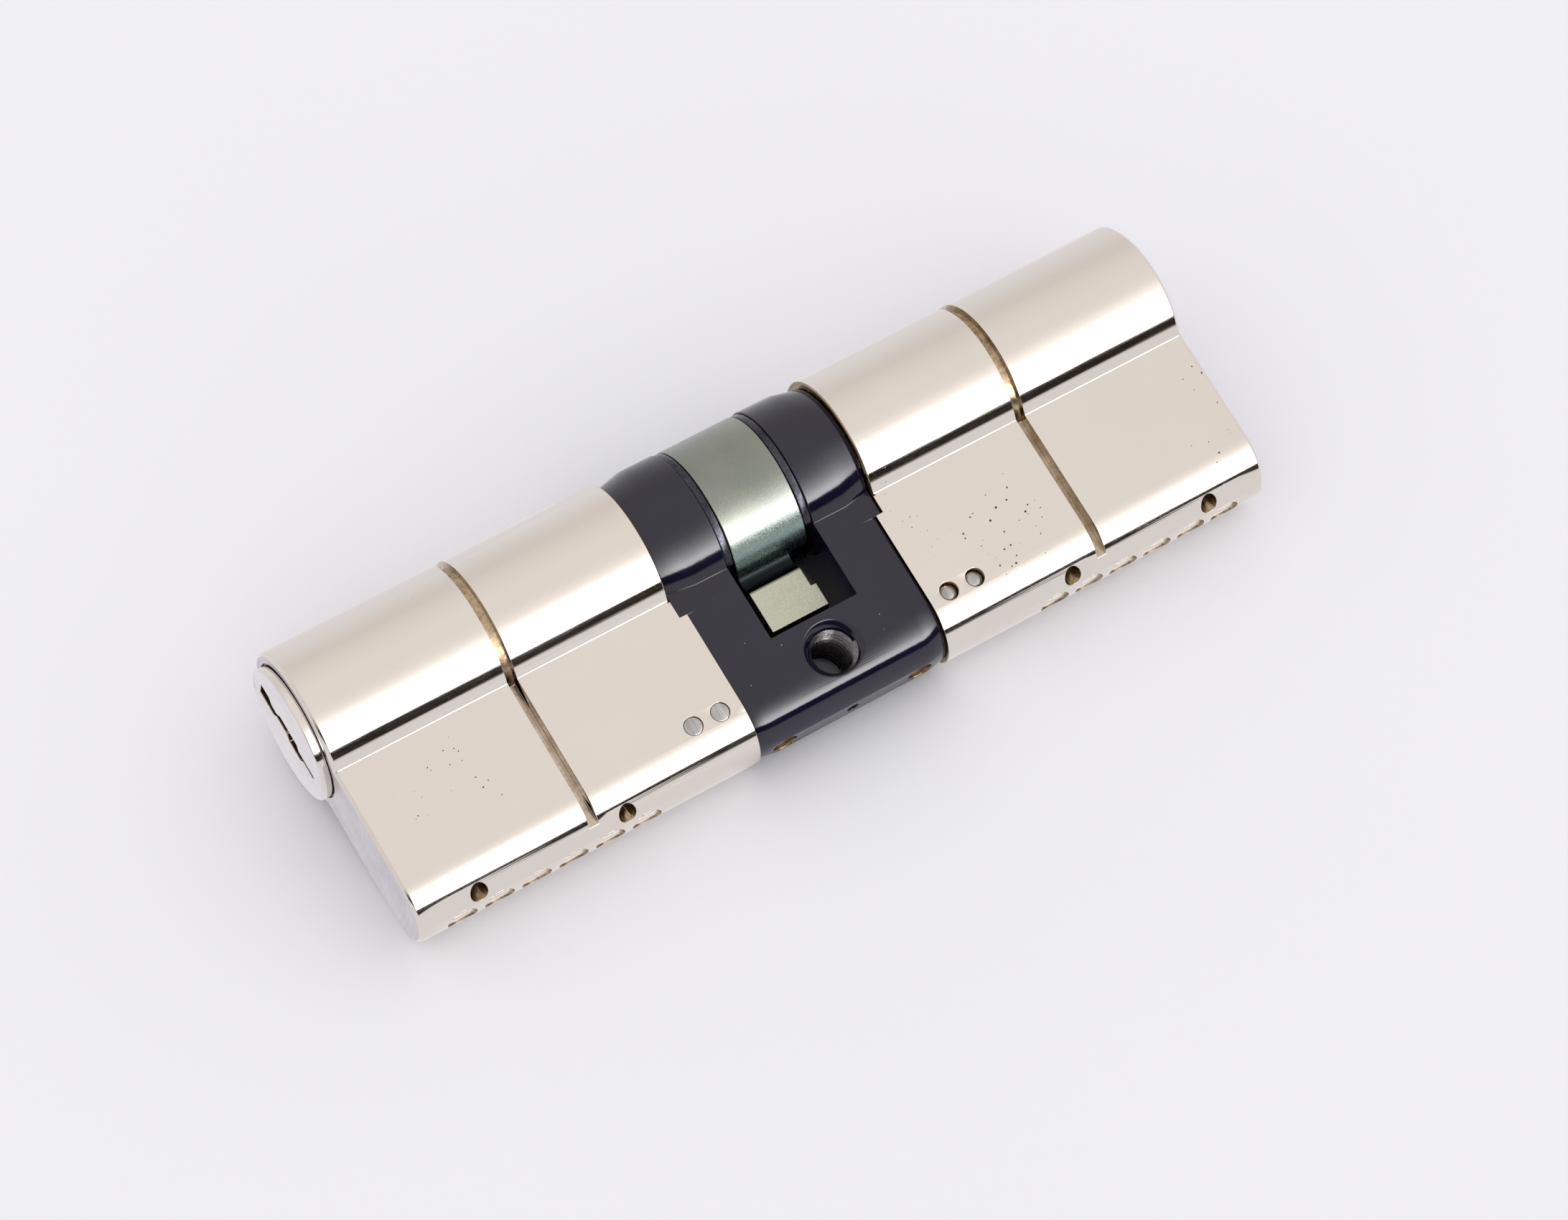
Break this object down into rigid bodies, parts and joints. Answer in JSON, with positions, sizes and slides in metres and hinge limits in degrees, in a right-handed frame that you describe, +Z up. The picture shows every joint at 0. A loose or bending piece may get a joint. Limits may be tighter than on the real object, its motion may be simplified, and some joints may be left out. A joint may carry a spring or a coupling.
{
  "type": "euro-profile double lock cylinder",
  "caption": "Modular euro-profile lock cylinder: a keyed plug at each end turns a cam in a centre bridge that has a threaded hole for the fixing screw.",
  "frame": {"origin": "centre of the fixing screw hole, halfway through the leg", "axes": "+X along the plugs towards half b, +Z up from the leg to the barrel as fitted in a door, Y along the fixing screw"},
  "size_m": [0.1012, 0.017, 0.033],
  "materials": {
    "nickel_plate": "satin nickel plate, finely brushed along the length",
    "black_oxide": "glossy black coating",
    "zinc_passivate": "sintered metal with a grey-green passivated surface",
    "brass": "turned brass",
    "steel": "ground steel",
    "spring_steel": "drawn spring wire"
  },
  "bodies": {
    "housing": {"half_body_a": "nickel_plate", "half_body_b": "nickel_plate", "bridge": "black_oxide", "link_bar_a": "steel", "link_bar_b": "steel", "cross_pins_a": "steel", "cross_pins_b": "steel", "retaining_pins": "brass", "drill_guards_a": "steel", "drill_guards_b": "steel", "chamber_caps_a": "brass", "chamber_caps_b": "brass", "spring_a1": "spring_steel", "spring_a2": "spring_steel", "spring_a3": "spring_steel", "spring_a4": "spring_steel", "spring_a5": "spring_steel", "spring_a6": "spring_steel", "spring_b1": "spring_steel", "spring_b2": "spring_steel", "spring_b3": "spring_steel", "spring_b4": "spring_steel", "spring_b5": "spring_steel", "spring_b6": "spring_steel"},
    "plug_a": {"plug_a": "nickel_plate", "clip_a": "black_oxide"},
    "plug_b": {"plug_b": "nickel_plate", "clip_b": "black_oxide"},
    "cam": {"cam": "zinc_passivate"},
    "clutch": {"clutch": "steel"},
    "key_pin_a1": {"key_pin_a1": "brass"},
    "driver_a1": {"driver_a1": "steel"},
    "key_pin_a2": {"key_pin_a2": "brass"},
    "driver_a2": {"driver_a2": "steel"},
    "key_pin_a3": {"key_pin_a3": "brass"},
    "driver_a3": {"driver_a3": "steel"},
    "key_pin_a4": {"key_pin_a4": "brass"},
    "driver_a4": {"driver_a4": "steel"},
    "key_pin_a5": {"key_pin_a5": "brass"},
    "driver_a5": {"driver_a5": "steel"},
    "key_pin_a6": {"key_pin_a6": "brass"},
    "driver_a6": {"driver_a6": "steel"},
    "key_pin_b1": {"key_pin_b1": "brass"},
    "driver_b1": {"driver_b1": "steel"},
    "key_pin_b2": {"key_pin_b2": "brass"},
    "driver_b2": {"driver_b2": "steel"},
    "key_pin_b3": {"key_pin_b3": "brass"},
    "driver_b3": {"driver_b3": "steel"},
    "key_pin_b4": {"key_pin_b4": "brass"},
    "driver_b4": {"driver_b4": "steel"},
    "key_pin_b5": {"key_pin_b5": "brass"},
    "driver_b5": {"driver_b5": "steel"},
    "key_pin_b6": {"key_pin_b6": "brass"},
    "driver_b6": {"driver_b6": "steel"}
  },
  "joints": [
    {"name": "plug_a_turn", "type": "hinge", "parent": "housing", "child": "plug_a", "pos_m": [0, 0, 0.0192], "axis": [1, 0, 0], "continuous": true},
    {"name": "plug_b_turn", "type": "hinge", "parent": "housing", "child": "plug_b", "pos_m": [0, 0, 0.0192], "axis": [1, 0, 0], "continuous": true},
    {"name": "cam_turn", "type": "hinge", "parent": "housing", "child": "cam", "pos_m": [0, 0, 0.0192], "axis": [1, 0, 0], "continuous": true},
    {"name": "clutch_slide", "type": "slide", "parent": "cam", "child": "clutch", "axis": [1, 0, 0], "range_m": [0, 0.002]},
    {"name": "tumbler_a1_key_pin", "type": "slide", "parent": "plug_a", "child": "key_pin_a1", "axis": [0, 0, 1], "range_m": [0, 0.0012]},
    {"name": "tumbler_a1_driver", "type": "slide", "parent": "housing", "child": "driver_a1", "axis": [0, 0, 1], "range_m": [-0.0012, 0], "stiffness_N_per_m": 120, "springref_m": 0.003, "deforming": ["spring_a1"]},
    {"name": "tumbler_a2_key_pin", "type": "slide", "parent": "plug_a", "child": "key_pin_a2", "axis": [0, 0, 1], "range_m": [0, 0.0012]},
    {"name": "tumbler_a2_driver", "type": "slide", "parent": "housing", "child": "driver_a2", "axis": [0, 0, 1], "range_m": [-0.0012, 0], "stiffness_N_per_m": 120, "springref_m": 0.003, "deforming": ["spring_a2"]},
    {"name": "tumbler_a3_key_pin", "type": "slide", "parent": "plug_a", "child": "key_pin_a3", "axis": [0, 0, 1], "range_m": [0, 0.0012]},
    {"name": "tumbler_a3_driver", "type": "slide", "parent": "housing", "child": "driver_a3", "axis": [0, 0, 1], "range_m": [-0.0012, 0], "stiffness_N_per_m": 120, "springref_m": 0.003, "deforming": ["spring_a3"]},
    {"name": "tumbler_a4_key_pin", "type": "slide", "parent": "plug_a", "child": "key_pin_a4", "axis": [0, 0, 1], "range_m": [0, 0.0012]},
    {"name": "tumbler_a4_driver", "type": "slide", "parent": "housing", "child": "driver_a4", "axis": [0, 0, 1], "range_m": [-0.0012, 0], "stiffness_N_per_m": 120, "springref_m": 0.003, "deforming": ["spring_a4"]},
    {"name": "tumbler_a5_key_pin", "type": "slide", "parent": "plug_a", "child": "key_pin_a5", "axis": [0, 0, 1], "range_m": [0, 0.0012]},
    {"name": "tumbler_a5_driver", "type": "slide", "parent": "housing", "child": "driver_a5", "axis": [0, 0, 1], "range_m": [-0.0012, 0], "stiffness_N_per_m": 120, "springref_m": 0.003, "deforming": ["spring_a5"]},
    {"name": "tumbler_a6_key_pin", "type": "slide", "parent": "plug_a", "child": "key_pin_a6", "axis": [0, 0, 1], "range_m": [0, 0.0012]},
    {"name": "tumbler_a6_driver", "type": "slide", "parent": "housing", "child": "driver_a6", "axis": [0, 0, 1], "range_m": [-0.0012, 0], "stiffness_N_per_m": 120, "springref_m": 0.003, "deforming": ["spring_a6"]},
    {"name": "tumbler_b1_key_pin", "type": "slide", "parent": "plug_b", "child": "key_pin_b1", "axis": [0, 0, 1], "range_m": [0, 0.0012]},
    {"name": "tumbler_b1_driver", "type": "slide", "parent": "housing", "child": "driver_b1", "axis": [0, 0, 1], "range_m": [-0.0012, 0], "stiffness_N_per_m": 120, "springref_m": 0.003, "deforming": ["spring_b1"]},
    {"name": "tumbler_b2_key_pin", "type": "slide", "parent": "plug_b", "child": "key_pin_b2", "axis": [0, 0, 1], "range_m": [0, 0.0012]},
    {"name": "tumbler_b2_driver", "type": "slide", "parent": "housing", "child": "driver_b2", "axis": [0, 0, 1], "range_m": [-0.0012, 0], "stiffness_N_per_m": 120, "springref_m": 0.003, "deforming": ["spring_b2"]},
    {"name": "tumbler_b3_key_pin", "type": "slide", "parent": "plug_b", "child": "key_pin_b3", "axis": [0, 0, 1], "range_m": [0, 0.0012]},
    {"name": "tumbler_b3_driver", "type": "slide", "parent": "housing", "child": "driver_b3", "axis": [0, 0, 1], "range_m": [-0.0012, 0], "stiffness_N_per_m": 120, "springref_m": 0.003, "deforming": ["spring_b3"]},
    {"name": "tumbler_b4_key_pin", "type": "slide", "parent": "plug_b", "child": "key_pin_b4", "axis": [0, 0, 1], "range_m": [0, 0.0012]},
    {"name": "tumbler_b4_driver", "type": "slide", "parent": "housing", "child": "driver_b4", "axis": [0, 0, 1], "range_m": [-0.0012, 0], "stiffness_N_per_m": 120, "springref_m": 0.003, "deforming": ["spring_b4"]},
    {"name": "tumbler_b5_key_pin", "type": "slide", "parent": "plug_b", "child": "key_pin_b5", "axis": [0, 0, 1], "range_m": [0, 0.0012]},
    {"name": "tumbler_b5_driver", "type": "slide", "parent": "housing", "child": "driver_b5", "axis": [0, 0, 1], "range_m": [-0.0012, 0], "stiffness_N_per_m": 120, "springref_m": 0.003, "deforming": ["spring_b5"]},
    {"name": "tumbler_b6_key_pin", "type": "slide", "parent": "plug_b", "child": "key_pin_b6", "axis": [0, 0, 1], "range_m": [0, 0.0012]},
    {"name": "tumbler_b6_driver", "type": "slide", "parent": "housing", "child": "driver_b6", "axis": [0, 0, 1], "range_m": [-0.0012, 0], "stiffness_N_per_m": 120, "springref_m": 0.003, "deforming": ["spring_b6"]}
  ],
  "couplings": [
    {"joint": "cam_turn", "follows": "plug_a_turn", "ratio": 1}
  ]
}
